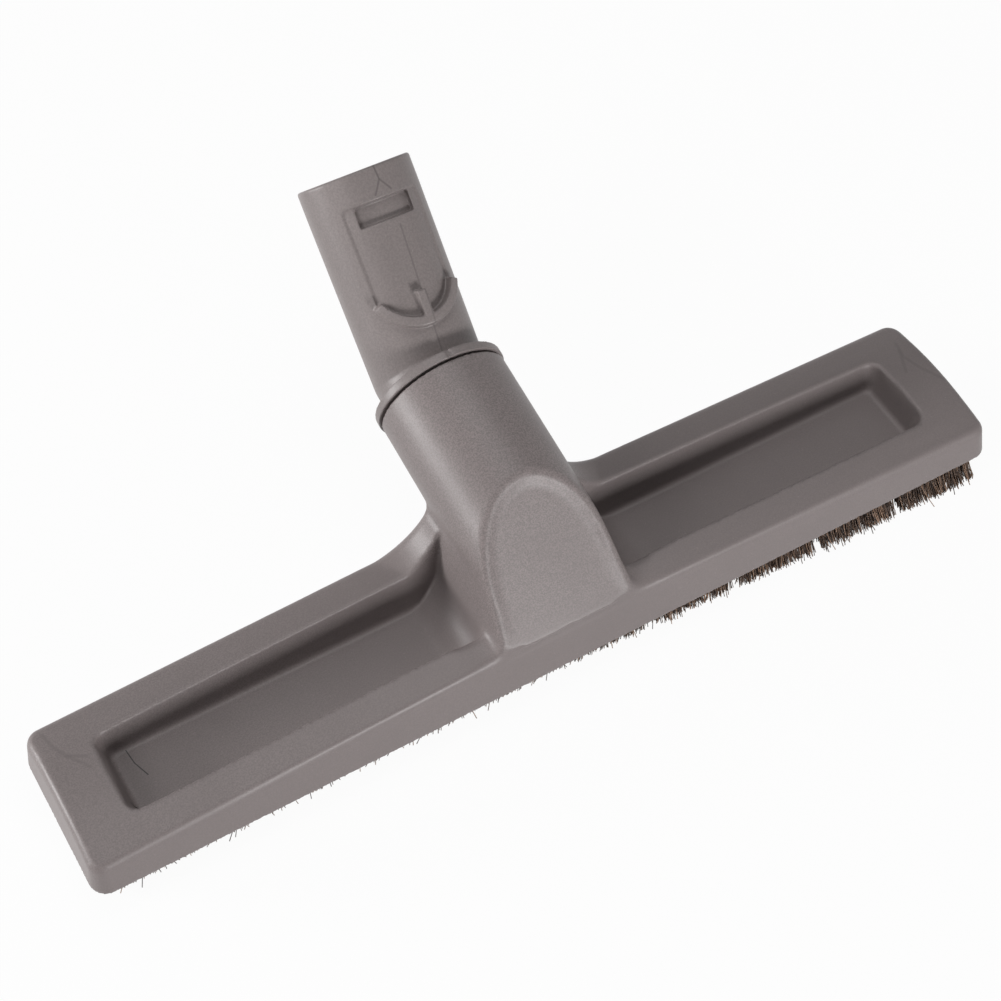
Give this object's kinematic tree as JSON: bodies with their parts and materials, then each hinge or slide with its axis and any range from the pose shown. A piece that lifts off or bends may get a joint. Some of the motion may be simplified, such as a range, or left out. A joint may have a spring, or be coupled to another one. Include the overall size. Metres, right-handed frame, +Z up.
{
  "type": "vacuum floor brush head",
  "caption": "Wide hard-floor brush head for a vacuum cleaner: a shallow moulded bar with rows of hair bristles under it, a domed neck and a bent tube that swivels in it.",
  "frame": {"origin": "on the floor under the middle of the whole head's bounding box, level with the bristles' tips", "axes": "+X along the bar to the right, +Y from the bar's front to its back and on towards the tube, +Z up from the floor"},
  "size_m": [0.306, 0.1441, 0.1079],
  "materials": {
    "housing_plastic": "fine moulded texture",
    "elbow_plastic": "satin",
    "plate_plastic": "matte",
    "ring_steel": "plain spring wire",
    "screw_steel": "plain",
    "bristle_hair": "coarse natural hair"
  },
  "bodies": {
    "head": {"housing": "housing_plastic", "sole_plate": "plate_plastic", "plate_screws": "screw_steel", "front_bristles_01": "bristle_hair", "front_bristles_02": "bristle_hair", "front_bristles_03": "bristle_hair", "front_bristles_04": "bristle_hair", "front_bristles_05": "bristle_hair", "front_bristles_06": "bristle_hair", "front_bristles_07": "bristle_hair", "front_bristles_08": "bristle_hair", "front_bristles_09": "bristle_hair", "front_bristles_10": "bristle_hair", "rear_bristles_01": "bristle_hair", "rear_bristles_02": "bristle_hair", "rear_bristles_03": "bristle_hair", "rear_bristles_04": "bristle_hair", "rear_bristles_05": "bristle_hair", "rear_bristles_06": "bristle_hair", "rear_bristles_07": "bristle_hair", "rear_bristles_08": "bristle_hair", "rear_bristles_09": "bristle_hair", "rear_bristles_10": "bristle_hair"},
    "elbow": {"swivel_elbow": "elbow_plastic", "retaining_ring": "ring_steel"}
  },
  "joints": [
    {"name": "elbow_swivel", "type": "hinge", "parent": "head", "child": "elbow", "pos_m": [0, 0.00488, 0.0521], "axis": [0, 0.9803, 0.1977], "continuous": true}
  ]
}
